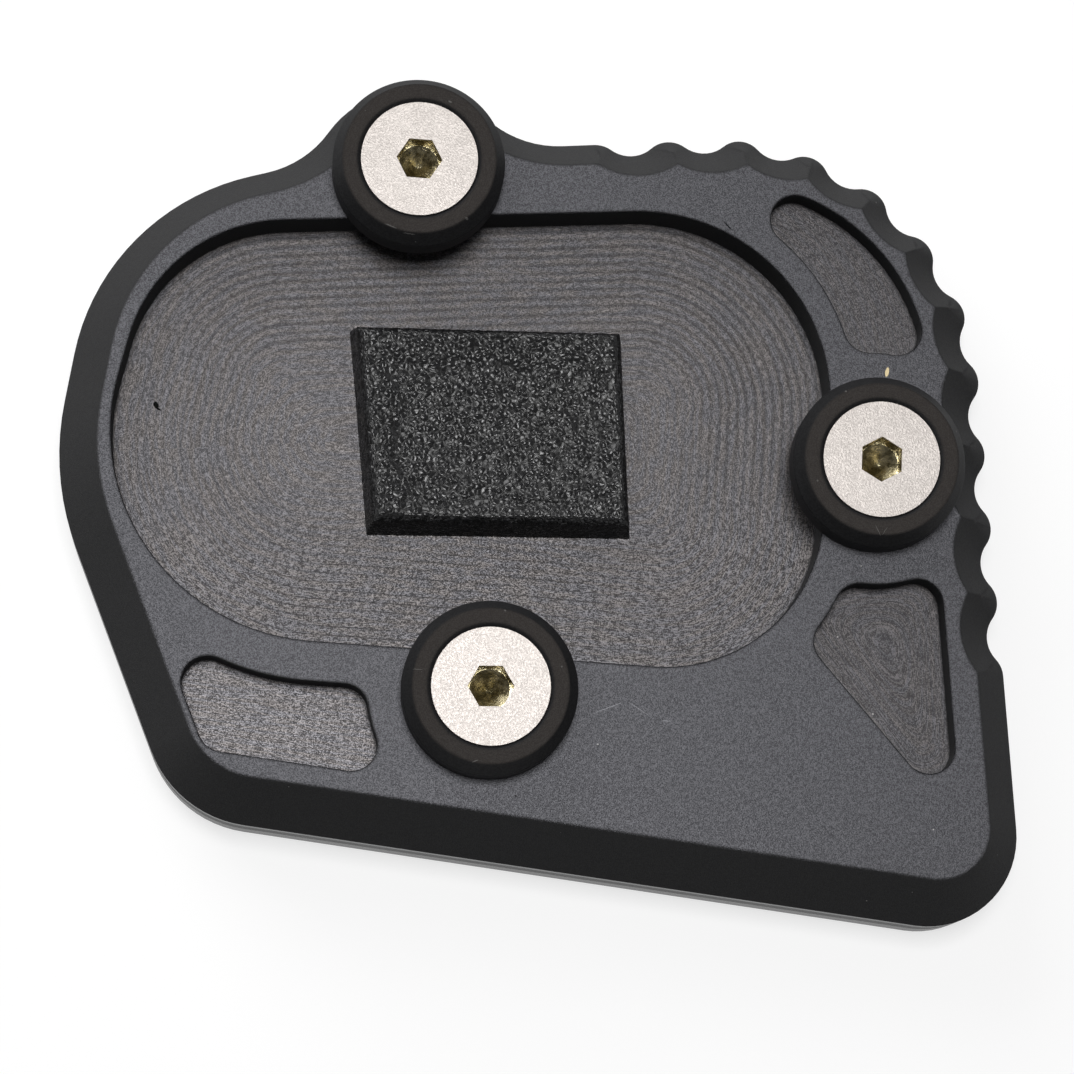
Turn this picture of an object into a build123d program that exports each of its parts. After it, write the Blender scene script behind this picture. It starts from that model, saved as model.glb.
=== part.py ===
from build123d import *
import os
from math import copysign, cos, radians, sin, tan

# Kickstand foot enlarger: a milled aluminium foot plate with a pocket for the stand's own foot,
# three turned clamp collars held down by countersunk screws, and a foam pad stuck in the pocket.
# Millimetres. The plate lies flat on Z = 0; X runs along its longest side, Y towards the lobe.

# Plate section
PLATE_THICKNESS = 14.0
TAPER_HEIGHT = 7.2       # tapered upper part of the edge; the wall below it is upright
TAPER_ANGLE = 30.0       # degrees of the edge taper from upright
EDGE_BREAK = 0.12        # small bevel on every edge of the top and of the underside

# Plate outline: where its straight edges would meet, and how each corner is rounded
RIGHT_EDGE_X = 48.15
TOP_EDGE_Y = 40.1
RIGHT_FRONT_Y = -46.7
FRONT_LEFT = (-38.4, -28.95)
LEFT_SIDE = (-49.8, 6.8)
LEFT_SHOULDER = (-43.1, 35.1)
SHOULDER_END_X = -17.0
SCALLOP_CORNER_R = 27.0
RIGHT_FRONT_R = 9.5
FRONT_LEFT_R = 12.0
LEFT_SIDE_R = 29.0
LEFT_SHOULDER_R = 24.5
LOBE_R = 11.0            # lobe round the top screw
LOBE_BLEND_R = 11.0      # hollow that joins the lobe to the edge on both sides

# Scallops along the top edge, round the corner and down the right edge
SCALLOP_COUNT = 11
SCALLOP_PITCH = 7.88
SCALLOP_START_X = 12.9   # middle of the first scallop
SCALLOP_R = 3.4
SCALLOP_DEPTH = 1.4

# Screw places
TOP_SCREW = (-10.37, 35.93)
RIGHT_SCREW = (35.02, 2.36)
FRONT_SCREW = (-6.24, -18.95)

# Pocket for the stand's foot: corners of its rim, and the roundings
POCKET_DEPTH = 5.0
POCKET_CORNERS = [(-37.0, 31.4), (33.7, 30.3), (27.0, -19.2), (-50.1, -9.5)]
POCKET_RADII = [16.8, 19.4, 16.6, 21.9]

# Three shallow pockets that lighten the plate, with the lands left round them
RELIEF_DEPTH = 3.0
RELIEF_R = 2.65
COLLAR_LAND = 3.3        # beside a collar
CORNER_RIM_LAND = 2.75   # beside the main pocket, at the scalloped corner
RIGHT_RIM_LAND = 3.55    # beside the main pocket, at the right
FRONT_RIM_LAND = 4.1     # beside the main pocket, at the front left
SCALLOP_LAND = 1.1       # between the scallops' taper and the corner relief
CORNER_RELIEF_X = 26.05  # left end of the corner relief
RIGHT_LAND = 3.0         # inside the right edge's taper
RELIEF_SLOPE = 1.36      # fall of the right relief's long side for each millimetre along X
RELIEF_TIP_Y = -35.0     # where that long side would meet the relief's right side
LEFT_LAND = 0.75         # inside the left edge's taper
FRONT_LAND = 2.1         # inside the front edge's taper

# Clamp collars
COLLAR_D = 17.8
COLLAR_HEIGHT = 4.5
COLLAR_TAPER_W = 1.0     # taper of the upper edge, across
COLLAR_TAPER_H = 1.7     # and down
COLLAR_BORE_D = 6.4

# M6 countersunk screws with a hexagon socket
SCREW_D = 6.0
SCREW_LENGTH = 14.0
HEAD_D = 12.0
HEAD_RIM = 0.25          # upright rim of the head above its cone
HEAD_RECESS = 0.1        # head below the collar's top
SOCKET_FLATS = 4.1
SOCKET_DEPTH = 2.4
SOCKET_POINT = 1.1       # drill point below the socket
TOP_SOCKET_TURN = -7.0
RIGHT_SOCKET_TURN = 24.0
FRONT_SOCKET_TURN = -3.5
TIP_BEVEL = 0.6
HOLE_DEPTH = 10.5        # tapped holes, blind
HOLE_POINT = 1.8         # drill point below a tapped hole
FIT_CLEARANCE = 0.05     # between screw and hole, and between head and countersink

# Foam pad on the pocket floor, cut and stuck by hand
PAD_LENGTH = 27.4
PAD_WIDTH = 21.6
PAD_THICKNESS = 4.0
PAD_CENTRE = (-3.8, 8.8)
PAD_TURN = -3.6

SCREWS = {
    "top": (TOP_SCREW, TOP_SOCKET_TURN),
    "right": (RIGHT_SCREW, RIGHT_SOCKET_TURN),
    "front": (FRONT_SCREW, FRONT_SOCKET_TURN),
}
WALL_HEIGHT = PLATE_THICKNESS - TAPER_HEIGHT
TAPER_WIDTH = TAPER_HEIGHT * tan(radians(TAPER_ANGLE))
POCKET_FLOOR = PLATE_THICKNESS - POCKET_DEPTH
RIGHT_FRONT = (RIGHT_EDGE_X, RIGHT_FRONT_Y)
HEAD_TOP = PLATE_THICKNESS + COLLAR_HEIGHT - HEAD_RECESS
NEAR = 0.001             # how near a point counts as being on a line
STANDING = (Align.CENTER, Align.CENTER, Align.MIN)
HANGING = (Align.CENTER, Align.CENTER, Align.MAX)
UP = (0, 0, 1)


def edge_outline():
    """Plan of the plate before its scallops: a rounded polygon with a lobe round the top screw."""
    corners = [
        (RIGHT_EDGE_X, TOP_EDGE_Y),
        RIGHT_FRONT,
        FRONT_LEFT,
        LEFT_SIDE,
        LEFT_SHOULDER,
        (SHOULDER_END_X, TOP_EDGE_Y),
    ]
    radii = [SCALLOP_CORNER_R, RIGHT_FRONT_R, FRONT_LEFT_R, LEFT_SIDE_R, LEFT_SHOULDER_R, 0]
    plan = make_face(FilletPolyline(*corners, radius=radii, close=True))
    plan += Pos(*TOP_SCREW) * Circle(LOBE_R)
    # Growing the plan and shrinking it back rounds only the hollows beside the lobe.
    return offset(offset(plan, LOBE_BLEND_R), -LOBE_BLEND_R)


def beside_edge(along, outward):
    """Point so far along the scalloped edge from X = 0, and so far outside it."""
    edge = FilletPolyline(
        (0, TOP_EDGE_Y), (RIGHT_EDGE_X, TOP_EDGE_Y), RIGHT_FRONT, radius=SCALLOP_CORNER_R
    )
    share = along / edge.length
    heading = edge % share
    return edge @ share + Vector(-heading.Y, heading.X) * outward


def taper_pin(centre, radius, top_radius):
    """Upright pin as high as the wall, with a broken foot and a cone that slopes as the taper does."""
    cone_height = abs(top_radius - radius) / tan(radians(TAPER_ANGLE))
    foot_radius = radius + copysign(EDGE_BREAK, top_radius - radius)
    pin = Cone(foot_radius, radius, EDGE_BREAK, align=STANDING)
    pin += Pos(0, 0, EDGE_BREAK) * Cylinder(radius, WALL_HEIGHT - EDGE_BREAK, align=STANDING)
    pin += Pos(0, 0, WALL_HEIGHT) * Cone(radius, top_radius, cone_height, align=STANDING)
    return Pos(centre) * pin


def scallop_groove(centre):
    """One scallop: upright through the wall, flaring with the taper, and broken at the top edge."""
    top_r = SCALLOP_R + TAPER_WIDTH
    lip_height = EDGE_BREAK * cos(radians(TAPER_ANGLE))
    lip = Cone(top_r - EDGE_BREAK * sin(radians(TAPER_ANGLE)), top_r + EDGE_BREAK, lip_height, align=HANGING)
    return taper_pin(centre, SCALLOP_R, top_r) + Pos(centre.X, centre.Y, PLATE_THICKNESS) * lip


def scallop_cut(along):
    """One scallop that runs on smoothly into the round crests at its two ends."""
    centre = beside_edge(along, SCALLOP_R - SCALLOP_DEPTH)
    hearts = []
    cuts = []
    for end in (along - SCALLOP_PITCH / 2, along + SCALLOP_PITCH / 2):
        crest = beside_edge(end, 0)
        inward = beside_edge(end, -1) - crest
        span = crest - centre
        # The crest's circle touches the edge at the crest and the scallop's circle from outside.
        crest_r = (span.dot(span) - SCALLOP_R**2) / (2 * (SCALLOP_R - inward.dot(span)))
        heart = crest + inward * crest_r
        wedge = Polygon(heart, crest - inward * SCALLOP_R, centre * 2 - heart, align=None)
        tip = taper_pin(heart, crest_r, max(crest_r - TAPER_WIDTH, 0))
        cuts.append(extrude(wedge, amount=PLATE_THICKNESS, dir=UP) - tip)
        hearts.append(heart)
    sector = Polygon(centre, *[heart * 2 - centre for heart in hearts], align=None)
    cuts.append(scallop_groove(centre) & extrude(sector, amount=PLATE_THICKNESS, dir=UP))
    return cuts


def pocket_rim():
    """Plan of the pocket that takes the stand's foot."""
    return make_face(FilletPolyline(*POCKET_CORNERS, radius=POCKET_RADII, close=True))


def collar_clearing(place):
    """Plan round a collar that the relief pockets keep clear of."""
    return Pos(*place) * Circle(COLLAR_D / 2 + COLLAR_LAND)


def corner_relief(rim):
    """Crescent between the main pocket and the scalloped corner."""
    centre = Vector(RIGHT_EDGE_X - SCALLOP_CORNER_R, TOP_EDGE_Y - SCALLOP_CORNER_R)
    radius = SCALLOP_CORNER_R - SCALLOP_DEPTH - TAPER_WIDTH - SCALLOP_LAND
    zone = Pos(CORNER_RELIEF_X, RIGHT_SCREW[1]) * Rectangle(
        RIGHT_EDGE_X, TOP_EDGE_Y, align=(Align.MIN, Align.MIN)
    )
    crescent = (Pos(centre) * Circle(radius)) & zone
    return crescent - offset(rim, CORNER_RIM_LAND) - collar_clearing(RIGHT_SCREW)


def right_relief(rim):
    """Wedge below the right collar, pointing to the front."""
    right_x = RIGHT_EDGE_X - TAPER_WIDTH - RIGHT_LAND
    left_x = POCKET_CORNERS[2][0] - RIGHT_RIM_LAND
    top_y = RIGHT_SCREW[1]
    wedge = Polygon(
        (right_x, RELIEF_TIP_Y),
        (right_x, top_y),
        (left_x, top_y),
        (left_x, RELIEF_TIP_Y + (right_x - left_x) * RELIEF_SLOPE),
        align=None,
    )
    return wedge - offset(rim, RIGHT_RIM_LAND) - collar_clearing(RIGHT_SCREW)


def front_relief(rim):
    """Bar in the front left corner, along the left and front edges."""
    corner = Vector(*FRONT_LEFT)
    to_left = (Vector(*LEFT_SIDE) - corner).normalized()
    to_right = (Vector(*RIGHT_FRONT) - corner).normalized()
    spread = sin(radians(to_left.get_angle(to_right)))
    start = corner + to_left * ((TAPER_WIDTH + FRONT_LAND) / spread)
    start += to_right * ((TAPER_WIDTH + LEFT_LAND) / spread)
    right_end = start + to_right * (Vector(*FRONT_SCREW) - corner).length
    rise = to_left * (Vector(*LEFT_SIDE) - corner).length
    bar = Polygon(start, right_end, right_end + rise, start + rise, align=None)
    return bar - offset(rim, FRONT_RIM_LAND) - collar_clearing(FRONT_SCREW)


def rounded_by_cutter(plan):
    """A relief's plan as a round cutter leaves it: where its middle can go, grown by its radius."""
    path = offset(plan.faces().sort_by(SortBy.AREA)[-1], -RELIEF_R)
    return offset(path, RELIEF_R)


def tapped_hole(place):
    """Blind hole for a screw, drawn as its plain thread size with a drill point."""
    radius = SCREW_D / 2 + FIT_CLEARANCE
    bore = Cylinder(radius, HOLE_DEPTH, align=HANGING)
    point = Cone(0, radius, HOLE_POINT, align=HANGING)
    return Pos(*place, PLATE_THICKNESS) * (bore + Pos(0, 0, -HOLE_DEPTH) * point)


def cut_pocket(plate, plan, depth):
    """Mill a pocket of that plan into the plate's top and break its rim."""
    plate -= Pos(0, 0, PLATE_THICKNESS - depth) * extrude(plan, amount=depth)
    rim = Pos(0, 0, PLATE_THICKNESS) * plan.wires()[0]
    top = plate.faces().sort_by(Axis.Z)[-1]
    return chamfer([edge for edge in top.edges() if rim.distance_to(edge @ 0.5) < NEAR], EDGE_BREAK)


def base_plate():
    """Foot plate: tapered and scalloped block with its pockets and screw holes."""
    block = extrude(edge_outline(), amount=PLATE_THICKNESS)
    top = block.faces().sort_by(Axis.Z)[-1]
    plate = chamfer(top.edges(), length=TAPER_WIDTH, length2=TAPER_HEIGHT, reference=top)
    plate = chamfer(plate.faces().sort_by(Axis.Z)[-1].edges(), EDGE_BREAK)
    plate = chamfer(plate.faces().sort_by(Axis.Z)[0].edges(), EDGE_BREAK)
    rim = pocket_rim()
    plate = cut_pocket(plate, rim, POCKET_DEPTH)
    for relief in (corner_relief(rim), right_relief(rim), front_relief(rim)):
        plate = cut_pocket(plate, rounded_by_cutter(relief), RELIEF_DEPTH)
    plate -= [tapped_hole(place) for place, turn in SCREWS.values()]
    for number in range(SCALLOP_COUNT):
        plate -= scallop_cut(SCALLOP_START_X + number * SCALLOP_PITCH)
    return plate


def clamp_collar():
    """Turned collar that stands on the plate and reaches over the pocket, countersunk for its screw."""
    body = Cylinder(COLLAR_D / 2, COLLAR_HEIGHT, align=STANDING)
    top = body.faces().sort_by(Axis.Z)[-1]
    body = chamfer(top.edges(), length=COLLAR_TAPER_W, length2=COLLAR_TAPER_H, reference=top)
    mouth_r = HEAD_D / 2 + FIT_CLEARANCE + HEAD_RIM + HEAD_RECESS
    bore_r = COLLAR_BORE_D / 2
    sink_depth = mouth_r - bore_r
    sink = Cone(bore_r, mouth_r, sink_depth, align=HANGING)
    bore = Cylinder(bore_r, COLLAR_HEIGHT, align=STANDING)
    return body - Pos(0, 0, COLLAR_HEIGHT) * sink - bore


def clamp_screw():
    """Countersunk screw with its head's top at Z = 0 and its hexagon socket's corner along X."""
    head_r = HEAD_D / 2
    shank_r = SCREW_D / 2
    cone_end = -HEAD_RIM - (head_r - shank_r)
    profile = Polyline(
        (0, 0),
        (head_r, 0),
        (head_r, -HEAD_RIM),
        (shank_r, cone_end),
        (shank_r, -SCREW_LENGTH + TIP_BEVEL),
        (shank_r - TIP_BEVEL, -SCREW_LENGTH),
        (0, -SCREW_LENGTH),
        close=True,
    )
    blank = revolve(make_face(Plane.XZ * profile), Axis.Z)
    flats = RegularPolygon(SOCKET_FLATS / 2, 6, major_radius=False)
    socket = extrude(flats, amount=-SOCKET_DEPTH)
    point = Cone(0, SOCKET_FLATS / 2, SOCKET_POINT, align=HANGING)
    return blank - socket - Pos(0, 0, -SOCKET_DEPTH) * point


def foam_pad():
    """Plain block of the pad's size, lying on the pocket floor."""
    block = Box(PAD_LENGTH, PAD_WIDTH, PAD_THICKNESS, align=STANDING)
    return Pos(*PAD_CENTRE, POCKET_FLOOR) * Rot(0, 0, PAD_TURN) * block


pieces = {"base_plate": base_plate(), "foam_pad": foam_pad()}
for name, (place, turn) in SCREWS.items():
    pieces["clamp_collar_" + name] = Pos(*place, PLATE_THICKNESS) * clamp_collar()
    pieces["clamp_screw_" + name] = Pos(*place, HEAD_TOP) * Rot(0, 0, turn) * clamp_screw()

# The origin is under the middle of the plate's box.
middle = pieces["base_plate"].bounding_box().center()
os.makedirs("parts", exist_ok=True)
for name, piece in pieces.items():
    export_step(Pos(-middle.X, -middle.Y, 0) * piece, "parts/" + name + ".step")
    print(name, round(piece.volume, 1))
print("drawing origin lies at", round(-middle.X, 3), round(-middle.Y, 3))
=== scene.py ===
from math import cos, hypot, radians, sin

import bpy
import numpy as np
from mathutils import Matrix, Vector, noise


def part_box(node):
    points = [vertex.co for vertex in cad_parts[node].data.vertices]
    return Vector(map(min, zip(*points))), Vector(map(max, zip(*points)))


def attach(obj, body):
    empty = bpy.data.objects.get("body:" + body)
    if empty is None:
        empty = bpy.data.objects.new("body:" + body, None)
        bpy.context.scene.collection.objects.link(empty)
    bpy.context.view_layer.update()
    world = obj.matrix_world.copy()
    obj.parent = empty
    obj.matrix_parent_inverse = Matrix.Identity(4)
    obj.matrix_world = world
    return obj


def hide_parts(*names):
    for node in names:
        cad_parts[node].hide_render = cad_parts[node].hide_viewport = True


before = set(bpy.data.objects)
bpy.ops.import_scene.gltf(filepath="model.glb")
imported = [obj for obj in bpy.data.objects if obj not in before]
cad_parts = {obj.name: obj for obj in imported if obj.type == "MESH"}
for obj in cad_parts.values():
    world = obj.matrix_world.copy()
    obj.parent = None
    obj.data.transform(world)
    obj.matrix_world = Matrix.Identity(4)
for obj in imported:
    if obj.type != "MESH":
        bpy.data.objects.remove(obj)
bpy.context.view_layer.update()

# Base plate: one block of aluminium, milled, bead-blasted and black anodised. The pocket and the
# three reliefs were milled after blasting, in passes that follow their outlines, so they keep the
# cutter's marks and shine a little more than the matt skin round them. Sizes are in millimetres.
MM = 0.001
PLATE_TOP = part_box("base_plate")[1].z / MM
POCKET_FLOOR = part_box("foam_pad")[0].z / MM
RELIEF_DEPTH = 3.0
RELIEF_FLOOR = PLATE_TOP - RELIEF_DEPTH
WALL_TOP = 6.8
LAND_REACH = 0.2               # how near the top a point of the land lies
RIM_REACH = 0.4                # how near the top a point of a rim lies
FLOOR_REACH = 0.3              # how near its level a point of a floor lies
EDGE_ROUND = 0.40              # blasting has rounded the edges
EDGE_RAYS = 2                  # that feel for an edge nearby
LEVEL = (0.90, 0.985)          # upward share of the rounded normal, from sloping to level
RIM_LEVEL = (0.96, 0.89)       # the same share where a rim's rounded edge gets painted shade
RIM_FACE = 0.6                 # least upward share of a face that belongs to a rim
RIM_INWARD = -1.5              # a rim's normal points in towards the plate's middle
FLAT = 0.95                    # upward share of a flat face
UPRIGHT = 0.3                  # most upward or downward share of an upright face

# Where the cutter went: round the pocket and the right relief, and along the front edge in the front
# relief. The corner relief goes on with the pocket's passes.
POCKET_CORNERS = [(-36.71, 30.21), (33.99, 29.11), (27.29, -20.39), (-49.81, -10.69)]
POCKET_RADII = [16.8, 19.4, 16.6, 21.9]
POCKET_MIDDLE = (-7.0, 7.5)
POCKET_REACH = 22.0            # typical distance of a pass from that middle
POCKET_PITCH = 0.92            # from one pass to the next
RIGHT_RELIEF_CORNERS = [(24.6, -10.9), (41.28, -9.9), (41.28, -36.19)]
RIGHT_RELIEF_RADII = [3.0, 3.4, 2.65]
RIGHT_RELIEF_X = 10.0          # right of this, a relief is not the front one
CORNER_RELIEF_Y = 5.0          # past this, a relief is the corner one
FRONT_EDGE = (0.201, 0.980)    # points in from the front edge
RELIEF_PITCH = 0.55
CLEAR_PATH = (10.0, 17.0, 1.0, 0.25)      # passes are clear near the rim and faint in the middle
CLEAR_X = (-38.0, -24.0, 0.5, 1.0)        # and fainter at the left end
FRONT_Y = (4.0, -8.0)                     # from the back of the pocket to its front
BANDS_BACK = 1.35
BANDS_FRONT = 0.3
BANDS_RELIEF = 0.1
LINES_BACK = 0.2
LINES_FRONT = (0.0, 14.0, 1.25, 0.45)     # along X
LINES_RELIEF = (9.0, 11.0, 0.5, 0.15)     # along X, from the front relief to the right one

LAND_DARK = (0.042, 0.042, 0.046, 1)
LAND_PALE = (0.101, 0.101, 0.109, 1)
# Tapers and walls take a darker copy of the land's colour: painted shade on the same blasted skin
SIDE_SHADE_DARK = (0.036, 0.036, 0.037, 1)
SIDE_SHADE_PALE = (0.048, 0.048, 0.049, 1)
# Near-black painted shade on rounded rim edges that lean in towards the plate's middle
RIM_PAINTED_SHADE = (0.010, 0.010, 0.011, 1)
FLOOR_COOL = (0.093, 0.091, 0.097, 1)
FLOOR_WARM = (0.102, 0.095, 0.094, 1)
FLOOR_SHADE = (0.42, 0.42, 0.42, 1)       # the floor's colour is multiplied by these, dark to bright
FLOOR_SHINE = (1.76, 1.76, 1.76, 1)
FLOOR_SPREAD = 0.62                       # contrast at the back of the pocket, about the middle tone
MIDDLE_TONE = 0.5
# The front relief's floor is painted brighter, a painted sheen, and the other two reliefs' floors
# darker, painted shade
FRONT_RELIEF_PAINTED_SHEEN = (1.35, 1.35, 1.35, 1)
OTHER_RELIEF_PAINTED_SHADE = (0.82, 0.82, 0.82, 1)
RELIEF_CALM = (0.093, 0.090, 0.095, 1)
RELIEF_CALM_SHARE = 0.35
GROOVE_DARK = (0.026, 0.025, 0.025, 1)
GROOVE_SHARE = 0.55
PLATE_DUST = (0.46, 0.45, 0.44, 1)
PLATE_DUST_SHARE = 0.45
PLATE_DUST_SPACING = 2.6
PLATE_DUST_SPECK = 0.11
PLATE_GRAIN = 0.12
PLATE_GRAIN_RISE = 0.6
PLATE_UNEVEN = 0.05            # depth of grain and marks
SIDE_ROUGHNESS = 0.6
LAND_ROUGHNESS = 0.40
FLOOR_ROUGHNESS = (0.44, 0.36)            # in the dark and in the bright marks
LAND_SHEEN = 0.55
FLOOR_SHEEN = 0.6
WALL_LINE = 4.4                # a duller line round the upright wall, where two passes meet
WALL_GLOSS = (0.9, 1.5, 0.25, 0.6)        # over the distance from that line
PLATE_MARKS = [                # place, turn in radians, half length, half width, colour
    ((-38.2, 12.17, 9.0), 1.2, 0.46, 0.30, (0.004, 0.004, 0.004, 1)),
    ((-38.0, 11.75, 9.0), 0.5, 0.42, 0.12, (0.004, 0.004, 0.004, 1)),
    ((21.89, 27.5, 14.0), 0.9, 0.7, 0.10, (0.012, 0.012, 0.013, 1)),
    ((37.39, 11.22, 14.0), -1.3, 0.60, 0.22, (0.52, 0.43, 0.26, 1)),
    ((-18.4, -25.19, 14.0), 0.2, 0.10, 0.08, (0.60, 0.58, 0.52, 1)),
    ((-19.6, -27.2, 11.0), 0.2, 0.12, 0.10, (0.80, 0.60, 0.42, 1)),
    ((6.1, -22.35, 14.0), -0.3, 1.8, 0.07, (0.135, 0.135, 0.145, 1)),
    ((9.2, -22.6, 14.0), 0.65, 1.3, 0.06, (0.135, 0.135, 0.145, 1)),
    ((11.97, -23.98, 14.0), 0.2, 0.5, 0.06, (0.15, 0.15, 0.16, 1)),
    ((-3.8, -30.81, 14.0), 0.2, 0.14, 0.10, (0.016, 0.016, 0.017, 1)),
    ((-40.74, -10.39, 10.0), 0.5, 0.12, 0.10, (0.42, 0.40, 0.38, 1)),
    ((31.78, -42.91, 9.0), 0.5, 0.12, 0.10, (0.42, 0.40, 0.38, 1)),
    ((4.86, -39.1, 6.8), 0.2, 0.5, 0.09, (0.40, 0.39, 0.37, 1)),
]


def feed_sockets(tree, sockets, feeds):
    """Link or set each socket in turn; None leaves one alone."""
    for socket, feed in zip(sockets, feeds):
        if isinstance(feed, bpy.types.NodeSocket):
            tree.links.new(feed, socket)
        elif feed is not None:
            socket.default_value = feed


def place(tree, kind, *feeds, **choices):
    """Add a node with its own choices; feeds go to its inputs in order."""
    node = tree.nodes.new("ShaderNode" + kind)
    for choice, value in choices.items():
        setattr(node, choice, value)
    feed_sockets(tree, node.inputs, feeds)
    return node


def maths(tree, operation, *feeds):
    """Value worked out by one Math node."""
    return place(tree, "Math", *feeds, operation=operation).outputs[0]


def times(tree, first, second):
    return maths(tree, "MULTIPLY", first, second)


def share_of(tree, share, first, second):
    """Sum of a share of the first value and the rest of the second."""
    return maths(tree, "MULTIPLY_ADD", first, share, times(tree, second, 1 - share))


def vectors(tree, operation, *feeds):
    """Vector, or value, worked out by one Vector Math node."""
    node = place(tree, "VectorMath", *feeds, operation=operation)
    return node.outputs["Value" if operation in ("DOT_PRODUCT", "LENGTH") else "Vector"]


def ramp(tree, value, low, high, to_low=0.0, to_high=1.0):
    """Value taken from one range to another, clamped, with soft ends."""
    limits = (low, high, to_low, to_high)
    return place(tree, "MapRange", value, *limits, interpolation_type="SMOOTHSTEP").outputs[0]


def noise_at(tree, where, scale, detail=2.0, roughness=0.5):
    return place(tree, "TexNoise", where, None, scale, detail, roughness).outputs[0]


def blend(tree, mask, first, second, mode="MIX"):
    """Colour that goes from the first to the second where the mask is 1."""
    node = place(tree, "Mix", data_type="RGBA", blend_type=mode)
    feed_sockets(tree, (node.inputs[0], node.inputs[6], node.inputs[7]), (mask, first, second))
    return node.outputs[2]


def mix_value(tree, mask, first, second):
    """Value that goes from the first to the second where the mask is 1."""
    return place(tree, "Mix", mask, None, first, second).outputs[0]


def group(name, inputs, outputs):
    """New node group; returns its tree, its input sockets and its output sockets."""
    tree = bpy.data.node_groups.new(name, "ShaderNodeTree")
    for way, sockets in (("INPUT", inputs), ("OUTPUT", outputs)):
        for socket, kind in sockets.items():
            tree.interface.new_socket(socket, in_out=way, socket_type="NodeSocket" + kind)
    taken = tree.nodes.new("NodeGroupInput").outputs
    return tree, taken, tree.nodes.new("NodeGroupOutput").inputs


def use(tree, group_tree, *feeds):
    """Place a node group in a material; returns its outputs."""
    node = tree.nodes.new("ShaderNodeGroup")
    node.node_tree = group_tree
    feed_sockets(tree, node.inputs, feeds)
    return node.outputs


def new_material(name):
    """Empty material; returns it, its tree, its shader, and the surface's place in millimetres."""
    material = bpy.data.materials.new(name)
    material.use_nodes = True
    tree = material.node_tree
    shader = tree.nodes["Principled BSDF"]
    spot = vectors(tree, "MULTIPLY", place(tree, "TexCoord").outputs["Object"], (1 / MM,) * 3)
    return material, tree, shader, spot


def finish_with(tree, shader, colour, roughness, height, depth, normal=None):
    """Feed the shader; height is in shares of depth, and depth in millimetres."""
    tree.links.new(colour, shader.inputs["Base Color"])
    tree.links.new(roughness, shader.inputs["Roughness"])
    bump = place(tree, "Bump", 1.0, depth * MM)
    tree.links.new(height, bump.inputs["Height"])
    if normal:
        tree.links.new(normal, bump.inputs["Normal"])
    tree.links.new(bump.outputs[0], shader.inputs["Normal"])


def dress(node, material):
    """Give a CAD node its one material."""
    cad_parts[node].data.materials.clear()
    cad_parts[node].data.materials.append(material)


# Fine grain of a blasted and anodised skin: pits of about the grain's size, in softer patches.
PATCH_SCALE = 0.3              # of the pits' scale
PATCH_SHARE = 0.2
SKIN_CONTRAST = (0.34, 0.66)
blasted_skin, given, put = group(
    "blasted_skin", {"Place": "Vector", "Grain": "Float"}, {"Tone": "Float", "Height": "Float"}
)
scale = maths(blasted_skin, "DIVIDE", 1.0, given["Grain"])
pits = noise_at(blasted_skin, given["Place"], scale, detail=1.0, roughness=0.7)
patch_scale = times(blasted_skin, scale, PATCH_SCALE)
patches = noise_at(blasted_skin, given["Place"], patch_scale, detail=1.0)
both = share_of(blasted_skin, PATCH_SHARE, patches, pits)
blasted_skin.links.new(ramp(blasted_skin, both, *SKIN_CONTRAST), put["Tone"])
blasted_skin.links.new(pits, put["Height"])

# Marks of a cutter: passes one pitch apart with a soft band between them and a fine line in it that
# comes and goes, a warmer or cooler lay along each pass, and a bright grain over all.
PASS_WANDER = ((0.07, 0.6), (0.6, 0.12))  # scale of each waver, and its share of a pitch
BAND_FADE = (0.3, 0.6, 0.3, 0.7)
BAND_EDGE = (0.38, 0.02)                  # in shares of a pitch, from outside to full
LINE_FADE = (0.36, 0.56)
LINE_EDGE = (0.11, 0.03)
FADE_LENGTH = 0.06
TINT_LAY = (1.6, 0.3)                     # scales across and along the passes
TINT_CONTRAST = (0.36, 0.64)
STREAK_LAY = (7.5, 2.2)
STREAK_SHARE = 0.45
CUT_GRAIN_SCALE = 8.5
CUT_CONTRAST = (0.42, 0.60)
CUT_GRAIN_RISE = 0.65
cutter_marks, given, put = group(
    "cutter_marks",
    {"Place": "Vector", **dict.fromkeys(("Path", "Along", "Pitch", "Bands", "Lines"), "Float")},
    dict.fromkeys(("Tone", "Tint", "Groove", "Height"), "Float"),
)


def drawn_out(passes, across, along, detail, roughness):
    """Noise drawn out along the cutter's passes."""
    along = times(cutter_marks, given["Along"], along)
    where = place(cutter_marks, "CombineXYZ", times(cutter_marks, passes, across), along).outputs[0]
    return noise_at(cutter_marks, where, 1.0, detail, roughness)


passes = maths(cutter_marks, "DIVIDE", given["Path"], given["Pitch"])
for scale, share in PASS_WANDER:
    waver = noise_at(cutter_marks, given["Place"], scale, detail=0.0)
    passes = maths(cutter_marks, "MULTIPLY_ADD", waver, share, passes)
from_edge = maths(cutter_marks, "PINGPONG", passes, 0.5)
fade_along = times(cutter_marks, given["Along"], FADE_LENGTH)
fading = place(cutter_marks, "CombineXYZ", fade_along, maths(cutter_marks, "ROUND", passes)).outputs[0]
fading = noise_at(cutter_marks, fading, 1.0, detail=2.0, roughness=0.7)
soft = times(cutter_marks, given["Bands"], ramp(cutter_marks, fading, *BAND_FADE))
band = times(cutter_marks, ramp(cutter_marks, from_edge, *BAND_EDGE), soft)
sharp = times(cutter_marks, given["Lines"], ramp(cutter_marks, fading, *LINE_FADE))
line = times(cutter_marks, ramp(cutter_marks, from_edge, *LINE_EDGE), sharp)
tint = drawn_out(passes, *TINT_LAY, detail=1.0, roughness=0.7)
streaks = drawn_out(passes, *STREAK_LAY, detail=1.0, roughness=0.75)
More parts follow.
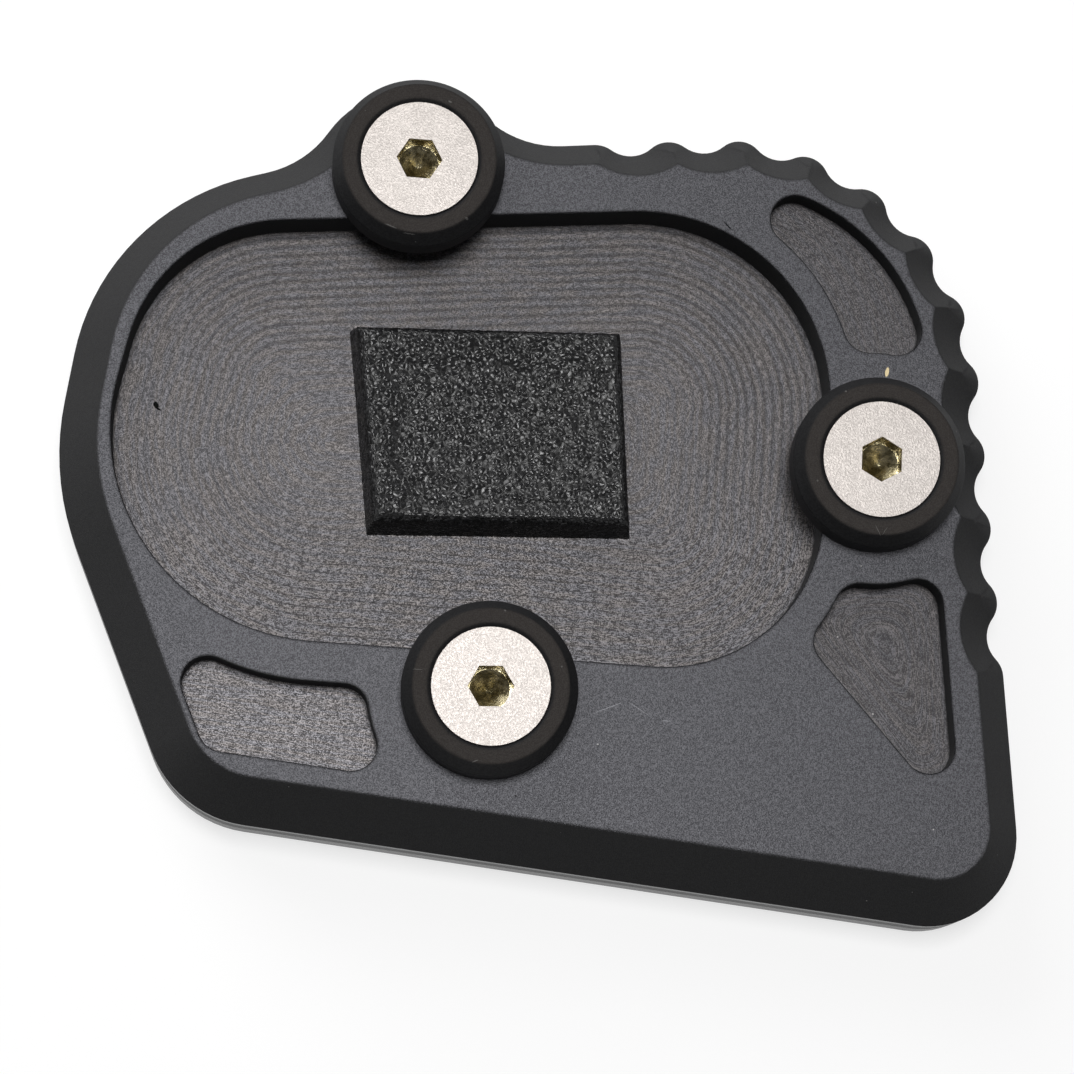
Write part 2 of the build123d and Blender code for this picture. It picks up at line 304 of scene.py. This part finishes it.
grain = noise_at(cutter_marks, given["Place"], CUT_GRAIN_SCALE, detail=1.0, roughness=0.7)
tone = share_of(cutter_marks, STREAK_SHARE, streaks, grain)
cutter_marks.links.new(ramp(cutter_marks, tone, *CUT_CONTRAST), put["Tone"])
cutter_marks.links.new(ramp(cutter_marks, tint, *TINT_CONTRAST), put["Tint"])
cutter_marks.links.new(maths(cutter_marks, "MAXIMUM", band, line), put["Groove"])
cutter_marks.links.new(times(cutter_marks, grain, CUT_GRAIN_RISE), put["Height"])

# Ragged place: the surface's place shaken a little, which makes the edges of small marks uneven.
SHAKE = 0.1
SHAKE_SCALE = 5.0
ragged_place, given, put = group("ragged_place", {"Place": "Vector"}, {"Place": "Vector"})
shaken = place(ragged_place, "TexNoise", given["Place"], None, SHAKE_SCALE).outputs["Color"]
shaken = vectors(ragged_place, "MULTIPLY_ADD", shaken, (SHAKE, SHAKE, 0), given["Place"])
shaken = vectors(ragged_place, "SUBTRACT", shaken, (SHAKE / 2, SHAKE / 2, 0))
ragged_place.links.new(shaken, put["Place"])

# One small mark, such as a scratch, a chip or a speck: an ellipse at a place on the surface.
MARK_HALF_HEIGHT = 0.6
MARK_EDGE = (1.0, 0.7)         # in shares of its size, from outside to full
small_mark, given, put = group(
    "small_mark",
    {
        "Place": "Vector", "Middle": "Vector",
        "Turn": "Float", "Half Length": "Float", "Half Width": "Float",
    },
    {"Mask": "Float"},
)
offset = vectors(small_mark, "SUBTRACT", given["Place"], given["Middle"])
turned = place(
    small_mark, "VectorRotate", offset, None, (0, 0, 1), given["Turn"], rotation_type="AXIS_ANGLE"
).outputs[0]
size = place(
    small_mark, "CombineXYZ", given["Half Length"], given["Half Width"], MARK_HALF_HEIGHT
).outputs[0]
reach = vectors(small_mark, "LENGTH", vectors(small_mark, "DIVIDE", turned, size))
small_mark.links.new(ramp(small_mark, reach, *MARK_EDGE), put["Mask"])

# Dust: single pale specks, far apart, each of its own size.
DUST_EMPTY = 0.45              # share of the places that hold no speck
dust, given, put = group(
    "dust", {"Place": "Vector", "Spacing": "Float", "Speck": "Float"}, {"Mask": "Float"}
)
closeness = maths(dust, "DIVIDE", 1.0, given["Spacing"])
cells = place(dust, "TexVoronoi", given["Place"], None, closeness).outputs
chance = place(dust, "SeparateXYZ", cells["Color"]).outputs
radius = times(dust, maths(dust, "DIVIDE", given["Speck"], given["Spacing"]), chance["X"])
inside = maths(dust, "LESS_THAN", cells["Distance"], radius)
there = maths(dust, "GREATER_THAN", chance["Y"], DUST_EMPTY)
dust.links.new(times(dust, inside, there), put["Mask"])


def distance_inside(tree, spot, corners, radii, join=6.0):
    """Distance of a spot inside a rounded polygon, in from its outline; corners run clockwise."""
    sides = []
    for start, end in zip(corners, corners[1:] + corners[:1]):
        length = hypot(end[0] - start[0], end[1] - start[1])
        along = Vector(((end[0] - start[0]) / length, (end[1] - start[1]) / length, 0))
        sides.append((Vector((*start, 0)), along, Vector((along.y, -along.x, 0))))
    spot = vectors(tree, "MULTIPLY", spot, (1, 1, 0))
    inside = None
    for start, along, inward in sides:
        step = vectors(tree, "DOT_PRODUCT", spot, inward)
        step = maths(tree, "SUBTRACT", step, inward.dot(start))
        inside = maths(tree, "SMOOTH_MIN", inside, step, join) if inside else step
    for before, after, radius in zip(sides[-1:] + sides[:-1], sides, radii):
        between = before[1].angle(-after[1])
        heart = after[0] + (after[1] - before[1]).normalized() * (radius / sin(between / 2))
        offset = vectors(tree, "SUBTRACT", spot, heart)
        past_before = vectors(tree, "DOT_PRODUCT", offset, before[1])
        past_after = vectors(tree, "DOT_PRODUCT", offset, -after[1])
        past = maths(tree, "MINIMUM", past_before, past_after)
        turning = maths(tree, "SUBTRACT", radius, vectors(tree, "LENGTH", offset))
        inside = mix_value(tree, maths(tree, "GREATER_THAN", past, 0.0), inside, turning)
    return inside


plate_finish, tree, shader, spot = new_material("black_anodised_plate")
parts = place(tree, "SeparateXYZ", spot).outputs
facing = place(tree, "SeparateXYZ", place(tree, "TexCoord").outputs["Normal"]).outputs
soft_normal = place(tree, "Bevel", EDGE_ROUND * MM, samples=EDGE_RAYS).outputs[0]
soft_up = place(tree, "SeparateXYZ", soft_normal).outputs["Z"]
outward = vectors(tree, "MULTIPLY", spot, (1, 1, 0))
outward = vectors(tree, "DOT_PRODUCT", soft_normal, outward)
rim = ramp(tree, soft_up, *RIM_LEVEL)
rim = times(tree, rim, maths(tree, "GREATER_THAN", facing["Z"], RIM_FACE))
rim = times(tree, rim, maths(tree, "LESS_THAN", outward, RIM_INWARD))
rim = times(tree, rim, maths(tree, "COMPARE", parts["Z"], PLATE_TOP, RIM_REACH))
level = ramp(tree, soft_up, *LEVEL)
in_pocket = maths(tree, "COMPARE", parts["Z"], POCKET_FLOOR, FLOOR_REACH)
in_relief = maths(tree, "COMPARE", parts["Z"], RELIEF_FLOOR, FLOOR_REACH)
at_floor = maths(tree, "ADD", in_pocket, in_relief)
cut_flat = times(tree, maths(tree, "GREATER_THAN", facing["Z"], FLAT), at_floor)
milled = times(tree, level, at_floor)
on_land = times(tree, level, maths(tree, "COMPARE", parts["Z"], PLATE_TOP, LAND_REACH))
not_front = maths(tree, "GREATER_THAN", parts["X"], RIGHT_RELIEF_X)
at_corner = maths(tree, "GREATER_THAN", parts["Y"], CORNER_RELIEF_Y)

pocket_path = distance_inside(tree, spot, POCKET_CORNERS, POCKET_RADII)
right_path = distance_inside(tree, spot, RIGHT_RELIEF_CORNERS, RIGHT_RELIEF_RADII)
front_path = vectors(tree, "DOT_PRODUCT", spot, (*FRONT_EDGE, 0))
relief_path = mix_value(tree, not_front, front_path, right_path)
relief_path = mix_value(tree, at_corner, relief_path, pocket_path)
path = mix_value(tree, in_relief, pocket_path, relief_path)
pitch = mix_value(tree, in_relief, POCKET_PITCH, RELIEF_PITCH)
right_of = maths(tree, "SUBTRACT", parts["X"], POCKET_MIDDLE[0])
behind = maths(tree, "SUBTRACT", parts["Y"], POCKET_MIDDLE[1])
around = times(tree, maths(tree, "ARCTAN2", behind, right_of), POCKET_REACH)
clear = times(tree, ramp(tree, pocket_path, *CLEAR_PATH), ramp(tree, parts["X"], *CLEAR_X))
at_front = ramp(tree, parts["Y"], *FRONT_Y)
bands = times(tree, clear, mix_value(tree, at_front, BANDS_BACK, BANDS_FRONT))
bands = mix_value(tree, in_relief, bands, BANDS_RELIEF)
lines = mix_value(tree, at_front, LINES_BACK, ramp(tree, parts["X"], *LINES_FRONT))
lines = times(tree, clear, lines)
lines = mix_value(tree, in_relief, lines, ramp(tree, parts["X"], *LINES_RELIEF))
marks = use(tree, cutter_marks, spot, path, around, pitch, bands, lines)
skin = use(tree, blasted_skin, spot, PLATE_GRAIN)

land = blend(tree, skin["Tone"], LAND_DARK, LAND_PALE)
# Painted shade: the sloping and upright faces get the land's skin painted darker
sides = blend(tree, skin["Tone"], SIDE_SHADE_DARK, SIDE_SHADE_PALE)
floor = blend(tree, marks["Tint"], FLOOR_COOL, FLOOR_WARM)
spread = maths(tree, "MAXIMUM", in_relief, mix_value(tree, at_front, FLOOR_SPREAD, 1.0))
floor_tone = mix_value(tree, spread, MIDDLE_TONE, marks["Tone"])
floor = blend(tree, 1.0, floor, blend(tree, floor_tone, FLOOR_SHADE, FLOOR_SHINE), "MULTIPLY")
# Painted sheen on the front relief's floor and painted shade on the corner and right reliefs' floors
in_front_relief = times(tree, in_relief, maths(tree, "SUBTRACT", 1.0, not_front))
floor = blend(tree, in_front_relief, floor, FRONT_RELIEF_PAINTED_SHEEN, "MULTIPLY")
calm = blend(tree, RELIEF_CALM_SHARE, floor, RELIEF_CALM)
calm = blend(tree, 1.0, calm, OTHER_RELIEF_PAINTED_SHADE, "MULTIPLY")
floor = blend(tree, times(tree, in_relief, not_front), floor, calm)
floor = blend(tree, times(tree, marks["Groove"], GROOVE_SHARE), floor, GROOVE_DARK)
colour = blend(tree, on_land, sides, land)
colour = blend(tree, milled, colour, floor)
# Painted shade: rounded rim edges that lean in towards the plate's middle are painted near black
colour = blend(tree, rim, colour, RIM_PAINTED_SHADE)
specks = use(tree, dust, spot, PLATE_DUST_SPACING, PLATE_DUST_SPECK)
colour = blend(tree, times(tree, specks["Mask"], PLATE_DUST_SHARE), colour, PLATE_DUST)
ragged = use(tree, ragged_place, spot)["Place"]
for middle, turn, half_length, half_width, mark_colour in PLATE_MARKS:
    mark = use(tree, small_mark, ragged, middle, turn, half_length, half_width)
    colour = blend(tree, mark["Mask"], colour, mark_colour)
matt = mix_value(tree, on_land, SIDE_ROUGHNESS, LAND_ROUGHNESS)
roughness = mix_value(tree, milled, matt, ramp(tree, marks["Tone"], 0.0, 1.0, *FLOOR_ROUGHNESS))
sheen = mix_value(tree, milled, times(tree, on_land, LAND_SHEEN), FLOOR_SHEEN)
tree.links.new(sheen, shader.inputs["Metallic"])
upright = maths(tree, "COMPARE", facing["Z"], 0.0, UPRIGHT)
upright = times(tree, upright, maths(tree, "LESS_THAN", parts["Z"], WALL_TOP))
off_line = maths(tree, "ABSOLUTE", maths(tree, "SUBTRACT", parts["Z"], WALL_LINE))
gloss = times(tree, upright, ramp(tree, off_line, *WALL_GLOSS))
tree.links.new(gloss, shader.inputs["Coat Weight"])
shader.inputs["Coat Roughness"].default_value = 0.25
shader.inputs["Specular IOR Level"].default_value = 0.02
uneven = mix_value(tree, cut_flat, times(tree, skin["Height"], PLATE_GRAIN_RISE), marks["Height"])
finish_with(tree, shader, colour, roughness, uneven, PLATE_UNEVEN, soft_normal)
dress("base_plate", plate_finish)

# Foam pad: a block of black closed-cell foam, cut by hand and stuck to the pocket floor. Its skin
# is pebbled with small cells, its cut sides lean out towards the floor, and its top has sunk a
# little inside a faint dent that runs round it.
PAD_OUTLINE = [(-14.95, 10.5), (13.25, 10.3), (14.15, -10.9), (-13.0, -10.9)]
PAD_LENGTH = 27.4
PAD_WIDTH = 21.6
PAD_HEIGHT = 3.88
PAD_TURN = radians(-3.6)
PAD_LEAN = {"left": 0.8, "right": 0.45, "front": 1.0, "back": 0.3}
LEAN_REACH = 6.0               # how far in from its side a lean is felt
PAD_ROUND = 0.8
PAD_GRID = 0.1
RISE_GRID = 0.16
PAD_DISH = 0.65
DENT_INSET = {"left": 4.0, "right": 4.6, "back": 4.2, "front": 2.6}
DENT_DEPTH = 0.16
DENT_WIDTH = 0.7
DENT_WAVER = 0.8               # how far the dent strays from its line in long waves
DENT_RIPPLE = 0.4              # and in short ones
LUMP = 0.6
LUMP_HEIGHT = 0.12
LUMP_START = 1 / 8             # lumps reach full height at this share of the pad's height
PEBBLE = 0.52
CELL_LEAN = 3.5                # how unevenly the cells tip
CELL_CROWN = 0.72
CELL_RISE = 0.1
CELL_EDGE = (0.15, 0.7)        # from the painted shade in the gap between cells to the cell
CELL_ROUGHNESS = (0.1, 0.6, 0.36, 0.24)
# The gap colour is painted shade in the creases between cells
FOAM_GAP_SHADE = (0.004, 0.004, 0.004, 1)
FOAM_CELL = (0.016, 0.016, 0.0172, 1)


def middle_of(node):
    """Middle of a CAD node's box, in millimetres."""
    low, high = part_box(node)
    return (low + high) / 2 / MM


def pad_lattice():
    """Grid points over the top and down the four sides, and the faces between them."""
    columns = round(PAD_LENGTH / PAD_GRID)
    rows = round(PAD_WIDTH / PAD_GRID)
    rises = round(PAD_HEIGHT / RISE_GRID)
    index = {}

    def point(column, row, rise):
        return index.setdefault((column, row, rise), len(index))

    faces = []
    for column in range(columns):
        for row in range(rows):
            ring = [(column, row), (column + 1, row), (column + 1, row + 1), (column, row + 1)]
            faces.append([point(c, r, rises) for c, r in ring])
    for rise in range(rises):
        for column in range(columns):
            ring = [(column, rise), (column + 1, rise), (column + 1, rise + 1), (column, rise + 1)]
            for row, order in ((0, 1), (rows, -1)):
                faces.append([point(c, row, r) for c, r in ring[::order]])
        for row in range(rows):
            ring = [(row, rise), (row + 1, rise), (row + 1, rise + 1), (row, rise + 1)]
            for column, order in ((0, -1), (columns, 1)):
                faces.append([point(column, w, r) for w, r in ring[::order]])
    foot = [(c, 0) for c in range(columns)] + [(columns, r) for r in range(rows)]
    foot += [(c, rows) for c in range(columns, 0, -1)] + [(0, r) for r in range(rows, 0, -1)]
    faces.append([index[(c, r, 0)] for c, r in foot[::-1]])
    points = np.array(list(index), float) / (columns, rows, rises)
    return points, faces


def rounded(edge, drop):
    """Quarter-round of an edge: how far in and how far down a point near it goes."""
    near_top = np.clip(edge / PAD_ROUND, 0, 1)
    near_side = np.clip(drop / PAD_ROUND, 0, 1)
    angle = np.radians(np.where(drop > 0, 45 * (1 - near_side), 45 + 45 * near_top))
    return PAD_ROUND * (1 - np.cos(angle)), PAD_ROUND * (1 - np.sin(angle))


points, faces = pad_lattice()
share_x, share_y, share_z = points.T
drop = (1 - share_z) * PAD_HEIGHT
edges = {
    "left": share_x * PAD_LENGTH, "right": (1 - share_x) * PAD_LENGTH,
    "front": share_y * PAD_WIDTH, "back": (1 - share_y) * PAD_WIDTH,
}
in_by = {}
down = np.zeros(len(points))
for side, edge in edges.items():
    inward, lowered = rounded(edge, np.where(edge < 1e-6, drop, 0))
    near = edge < PAD_ROUND
    lean = PAD_LEAN[side] * share_z * np.clip(1 - edge / LEAN_REACH, 0, 1)
    in_by[side] = np.where(near, inward, edge) + lean
    down = np.maximum(down, np.where(near, lowered, 0))
x_share = np.where(share_x < 0.5, in_by["left"], PAD_LENGTH - in_by["right"]) / PAD_LENGTH
y_share = np.where(share_y < 0.5, in_by["front"], PAD_WIDTH - in_by["back"]) / PAD_WIDTH
back_left, back_right, front_right, front_left = np.array(PAD_OUTLINE)
front = front_left + (front_right - front_left) * x_share[:, None]
back = back_left + (back_right - back_left) * x_share[:, None]
plan = front + (back - front) * y_share[:, None]
turn = np.array([[cos(PAD_TURN), sin(PAD_TURN)], [-sin(PAD_TURN), cos(PAD_TURN)]])
plan = plan @ turn + middle_of("foam_pad")[:2]
across, along = 2 * share_x - 1, 2 * share_y - 1
sunk = PAD_DISH * np.clip((1 - across**2) * (1 - along**2), 0, 1)
dent_line = np.minimum.reduce([edges[side] - inset for side, inset in DENT_INSET.items()])
dent_line += DENT_WAVER * np.sin(share_x * 17) * np.cos(share_y * 13 + 1)
dent_line += DENT_RIPPLE * np.sin(share_x * 41 + share_y * 29)
sunk += DENT_DEPTH * np.exp(-((dent_line / DENT_WIDTH) ** 2))
side_height = np.minimum(share_z * PAD_HEIGHT, PAD_HEIGHT - down)
on_top = share_z == 1
height = np.where(on_top, PAD_HEIGHT - down - sunk, side_height)
places = np.column_stack([plan, height + POCKET_FLOOR]) * MM
pad_mesh = bpy.data.meshes.new("foam_block")
pad_mesh.from_pydata(places.tolist(), [], faces)
normals = np.zeros(len(places) * 3)
pad_mesh.vertices.foreach_get("normal", normals)
normals = normals.reshape(-1, 3)
lumps = np.array([0.5 + 0.5 * noise.noise(Vector(place_mm) / LUMP) for place_mm in places / MM])
swelling = normals * (lumps * LUMP_HEIGHT * MM)[:, None]
swelling[:, 2] *= np.clip(share_z / LUMP_START, 0, 1)
places += swelling
pad_mesh.vertices.foreach_set("co", places.ravel())
pad_mesh.shade_smooth()
pad = bpy.data.objects.new("foam_block", pad_mesh)
bpy.context.scene.collection.objects.link(pad)

pad_finish, tree, shader, spot = new_material("black_cell_foam")
cells = place(tree, "TexVoronoi", spot, None, 1 / PEBBLE).outputs
next_cells = place(tree, "TexVoronoi", spot, None, 1 / PEBBLE, feature="F2").outputs
both = maths(tree, "ADD", cells["Distance"], next_cells["Distance"])
out = maths(tree, "DIVIDE", cells["Distance"], both)
crown = maths(tree, "MULTIPLY_ADD", times(tree, out, out), -4.0, 1.0)
lean = vectors(tree, "SUBTRACT", cells["Color"], (0.5, 0.5, 0.5))
lean = vectors(tree, "DOT_PRODUCT", lean, vectors(tree, "SUBTRACT", spot, cells["Position"]))
height = maths(tree, "MULTIPLY_ADD", lean, CELL_LEAN, times(tree, crown, CELL_CROWN))
# Painted shade: the creases between cells are painted near black
colour = blend(tree, ramp(tree, crown, *CELL_EDGE), FOAM_GAP_SHADE, FOAM_CELL)
shader.inputs["Specular IOR Level"].default_value = 0.5
finish_with(tree, shader, colour, ramp(tree, crown, *CELL_ROUGHNESS), height, CELL_RISE)
pad_mesh.materials.append(pad_finish)
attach(pad, "root")
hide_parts("foam_pad")

# Clamp collars: three turned aluminium rings, black anodised, that stand on the plate and reach
# over the pocket. Their top faces keep fine turning rings and a few marks of handling.
SCREW_NAMES = ("top", "right", "front")
COLLAR_ROUND = 0.45
COLLAR_TOP = (0.75, 1.0)       # upward share of the rounded normal, from flank to top face
COLLAR_FACE_DARK = (0.035, 0.031, 0.029, 1)
COLLAR_FACE_PALE = (0.051, 0.046, 0.043, 1)
COLLAR_SIDE_DARK = (0.017, 0.017, 0.018, 1)
COLLAR_SIDE_PALE = (0.025, 0.025, 0.026, 1)
COLLAR_GRAIN = 0.22
COLLAR_TURNING = {"around": 4.0, "pitch": 0.3, "bands": 0.8, "lines": 0.8}
COLLAR_SIDE_ROUGHNESS = 0.5
COLLAR_FACE_ROUGHNESS = (0.62, 0.5)       # in the dark and in the pale rings
TURNED_DEPTH = 0.012
RUBBED = (0.16, 0.155, 0.15, 1)
RUBBED_SHARE = 0.7
COLLAR_DUST_SHARE = 0.5
COLLAR_DUST_SPACING = 1.5
COLLAR_DUST_SPECK = 0.12
COLLAR_REACH = 12.0            # a mark nearer than this to a collar's middle is on it
COLLAR_MARKS = [               # place, turn in radians, half length, half width
    ((-13.4, 27.68, 18.5), 0.45, 0.75, 0.07),
    ((-11.6, 26.86, 18.5), 0.2, 0.85, 0.05),
    ((-6.62, 40.64, 18.5), 0.5, 0.22, 0.10),
    ((-5.59, 28.17, 18.5), 0.5, 0.20, 0.14),
    ((32.13, 8.38, 18.5), 0.8, 0.13, 0.10),
    ((34.3, -6.2, 18.5), 1.2, 0.75, 0.035),
    ((35.0, -6.3, 18.5), -0.9, 0.55, 0.03),
    ((-13.2, -18.1, 18.5), 0.1, 0.6, 0.035),
    ((-4.1, -12.6, 18.5), 0.4, 0.12, 0.10),
    ((-8.0, -27.6, 18.5), -0.3, 0.4, 0.06),
]


def turned_marks(tree, spot, node, around, pitch, bands, lines):
    """Cutter marks round the upright axis of a turned piece, and a spot's distance from that axis."""
    offset = vectors(tree, "SUBTRACT", spot, middle_of(node))
    offset = vectors(tree, "MULTIPLY", offset, (1, 1, 0))
    parts = place(tree, "SeparateXYZ", offset).outputs
    reach = vectors(tree, "LENGTH", offset)
    way_round = times(tree, maths(tree, "ARCTAN2", parts["Y"], parts["X"]), around)
    return use(tree, cutter_marks, spot, reach, way_round, pitch, bands, lines), reach


for name in SCREW_NAMES:
    node = "clamp_collar_" + name
    collar_finish, tree, shader, spot = new_material("turned_black_collar_" + name)
    soft_normal = place(tree, "Bevel", COLLAR_ROUND * MM, samples=EDGE_RAYS).outputs[0]
    on_top = ramp(tree, place(tree, "SeparateXYZ", soft_normal).outputs["Z"], *COLLAR_TOP)
    turning, reach = turned_marks(tree, spot, node, **COLLAR_TURNING)
    skin = use(tree, blasted_skin, spot, COLLAR_GRAIN)
    face = blend(tree, turning["Tone"], COLLAR_FACE_DARK, COLLAR_FACE_PALE)
    flank = blend(tree, skin["Tone"], COLLAR_SIDE_DARK, COLLAR_SIDE_PALE)
    colour = blend(tree, on_top, flank, face)
    specks = use(tree, dust, spot, COLLAR_DUST_SPACING, COLLAR_DUST_SPECK)
    colour = blend(tree, times(tree, specks["Mask"], COLLAR_DUST_SHARE), colour, RUBBED)
    ragged = use(tree, ragged_place, spot)["Place"]
    for middle, turn, half_length, half_width in COLLAR_MARKS:
        if (Vector(middle) - middle_of(node)).length < COLLAR_REACH:
            mark = use(tree, small_mark, ragged, middle, turn, half_length, half_width)
            colour = blend(tree, times(tree, mark["Mask"], RUBBED_SHARE), colour, RUBBED)
    face_roughness = ramp(tree, turning["Tone"], 0.0, 1.0, *COLLAR_FACE_ROUGHNESS)
    roughness = mix_value(tree, on_top, COLLAR_SIDE_ROUGHNESS, face_roughness)
    shader.inputs["Specular IOR Level"].default_value = 0.04
    finish_with(tree, shader, colour, roughness, turning["Height"], TURNED_DEPTH, soft_normal)
    dress(node, collar_finish)

# Clamp screws: stainless countersunk screws with a hexagon socket, one through each collar into
# the plate. Their heads are cold-headed and satin, and old oil has browned the sockets.
HEAD_DARK = (0.33, 0.305, 0.286, 1)
HEAD_PALE = (0.53, 0.492, 0.464, 1)
HEAD_GRAIN = 0.2
HEAD_TURNING = {"around": 3.0, "pitch": 0.5, "bands": 0.6, "lines": 0.6}
TURNING_SHARE = 0.35
MOTTLE_SCALE = 0.9
MOTTLE_SHARE = 0.5
HEAD_ROUGHNESS = (0.50, 0.43)             # in the dark and in the pale grain
SOCKET_REACH = 2.6             # from the screw's axis
SOCKET_EDGE = (0.1, 0.5)       # depth below the head, from bare to oiled
SOCKET_ROUGHNESS = 0.24
OIL_DARK = (0.20, 0.17, 0.09, 1)
OIL_PALE = (0.60, 0.53, 0.34, 1)
OIL_SCALE = 1.1
OIL_CONTRAST = (0.38, 0.62)
for name in SCREW_NAMES:
    node = "clamp_screw_" + name
    screw_finish, tree, shader, spot = new_material("satin_stainless_" + name)
    turning, reach = turned_marks(tree, spot, node, **HEAD_TURNING)
    height = place(tree, "SeparateXYZ", spot).outputs["Z"]
    depth = maths(tree, "SUBTRACT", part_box(node)[1].z / MM, height)
    in_socket = maths(tree, "LESS_THAN", reach, SOCKET_REACH)
    in_socket = times(tree, ramp(tree, depth, *SOCKET_EDGE), in_socket)
    grain = use(tree, blasted_skin, spot, HEAD_GRAIN)
    pitted = share_of(tree, TURNING_SHARE, turning["Tone"], grain["Tone"])
    mottled = noise_at(tree, spot, MOTTLE_SCALE, detail=3.0, roughness=0.6)
    mottled = share_of(tree, MOTTLE_SHARE, mottled, pitted)
    face = blend(tree, mottled, HEAD_DARK, HEAD_PALE)
    stain = noise_at(tree, spot, OIL_SCALE, detail=3.0, roughness=0.6)
    oil = blend(tree, ramp(tree, stain, *OIL_CONTRAST), OIL_DARK, OIL_PALE)
    colour = blend(tree, in_socket, face, oil)
    head_roughness = ramp(tree, pitted, 0.0, 1.0, *HEAD_ROUGHNESS)
    roughness = mix_value(tree, in_socket, head_roughness, SOCKET_ROUGHNESS)
    shader.inputs["Metallic"].default_value = 1.0
    finish_with(tree, shader, colour, roughness, pitted, TURNED_DEPTH)
    dress(node, screw_finish)

# Floor: a plain pale studio sheet under the plate, which the lens and polished metal see as white
# and which keeps the plate's soft shadow.
SHEET_SIZE = 3.0               # metres
SHEET_GREY = (0.34, 0.34, 0.34, 1)
SHEET_PALE = (0.36, 0.36, 0.36, 1)
SHEET_CLOUDS = 0.02
SHEET_GLOW = 0.72


def seen_directly(tree):
    """1 for rays from the lens, from polished metal or through glass, and 0 for rays that light."""
    rays = place(tree, "LightPath").outputs
    seen = maths(tree, "MAXIMUM", rays["Is Camera Ray"], rays["Is Glossy Ray"])
    return maths(tree, "MAXIMUM", seen, rays["Is Transmission Ray"])


bpy.ops.mesh.primitive_grid_add(x_subdivisions=8, y_subdivisions=8, size=SHEET_SIZE)
floor_sheet = bpy.context.object
floor_sheet.name = "studio_floor"
floor_finish, tree, shader, spot = new_material("white_studio_sheet")
clouds = noise_at(tree, spot, SHEET_CLOUDS)
sheet_colour = blend(tree, clouds, SHEET_GREY, SHEET_PALE)
tree.links.new(sheet_colour, shader.inputs["Base Color"])
shader.inputs["Roughness"].default_value = 0.9
shader.inputs["Specular IOR Level"].default_value = 0.0
glow = place(tree, "Emission", (1, 1, 1, 1), times(tree, seen_directly(tree), SHEET_GLOW)).outputs[0]
both = place(tree, "AddShader", shader.outputs[0], glow).outputs[0]
tree.links.new(both, tree.nodes["Material Output"].inputs["Surface"])
floor_sheet.data.materials.append(floor_finish)

# Studio light: a soft box overhead, a large low one behind the lobe, and a dim grey room whose
# white walls are seen by the lens and by polished metal only. Places and sizes are in metres.
SOFT_BOXES = [                 # name, place, size, watts
    ("soft_box_back", (-0.48, 0.86, 0.48), 0.80, 7.8),
    ("soft_box_overhead", (-0.01, 0.085, 0.90), 0.30, 4.3),
]
ROOM_COLOUR = (0.9, 0.9, 0.92, 1)
ROOM_LIGHT = 0.08
WALL_FADE = (0.3, 0.7, 0.92, 0.0)         # white at the foot, gone overhead
for name, spot_m, size_m, watts in SOFT_BOXES:
    lamp = bpy.data.lights.new(name, "AREA")
    lamp.size = size_m
    lamp.energy = watts
    holder = bpy.data.objects.new(name, lamp)
    holder.location = spot_m
    holder.rotation_euler = Vector(spot_m).to_track_quat("Z", "Y").to_euler()
    bpy.context.scene.collection.objects.link(holder)
world = bpy.data.worlds.new("studio_room")
bpy.context.scene.world = world
world.use_nodes = True
tree = world.node_tree
room = tree.nodes["Background"]
room.inputs["Color"].default_value = ROOM_COLOUR
rise = place(tree, "SeparateXYZ", place(tree, "TexCoord").outputs["Generated"]).outputs["Z"]
walls = ramp(tree, rise, *WALL_FADE)
strength = maths(tree, "MULTIPLY_ADD", walls, seen_directly(tree), ROOM_LIGHT)
tree.links.new(strength, room.inputs["Strength"])

# Camera: where the photograph was taken from, a little to the left of and in front of the plate.
# Its place and lens were fitted to the three screw heads, which are equal circles in one plane.
CAMERA_PLACE = (-31.357, -69.761, 374.15)
CAMERA_TILT = (10.5255, -4.3293, -3.5)    # degrees
CAMERA_LENS = 120.67
CAMERA_SENSOR = 36.0
camera = bpy.data.objects.new("photo_camera", bpy.data.cameras.new("photo_camera"))
camera.data.lens = CAMERA_LENS
camera.data.sensor_width = CAMERA_SENSOR
camera.location = Vector(CAMERA_PLACE) * MM
camera.rotation_euler = [radians(angle) for angle in CAMERA_TILT]
bpy.context.scene.collection.objects.link(camera)
bpy.context.scene.camera = camera
bpy.context.scene.view_settings.view_transform = "Standard"
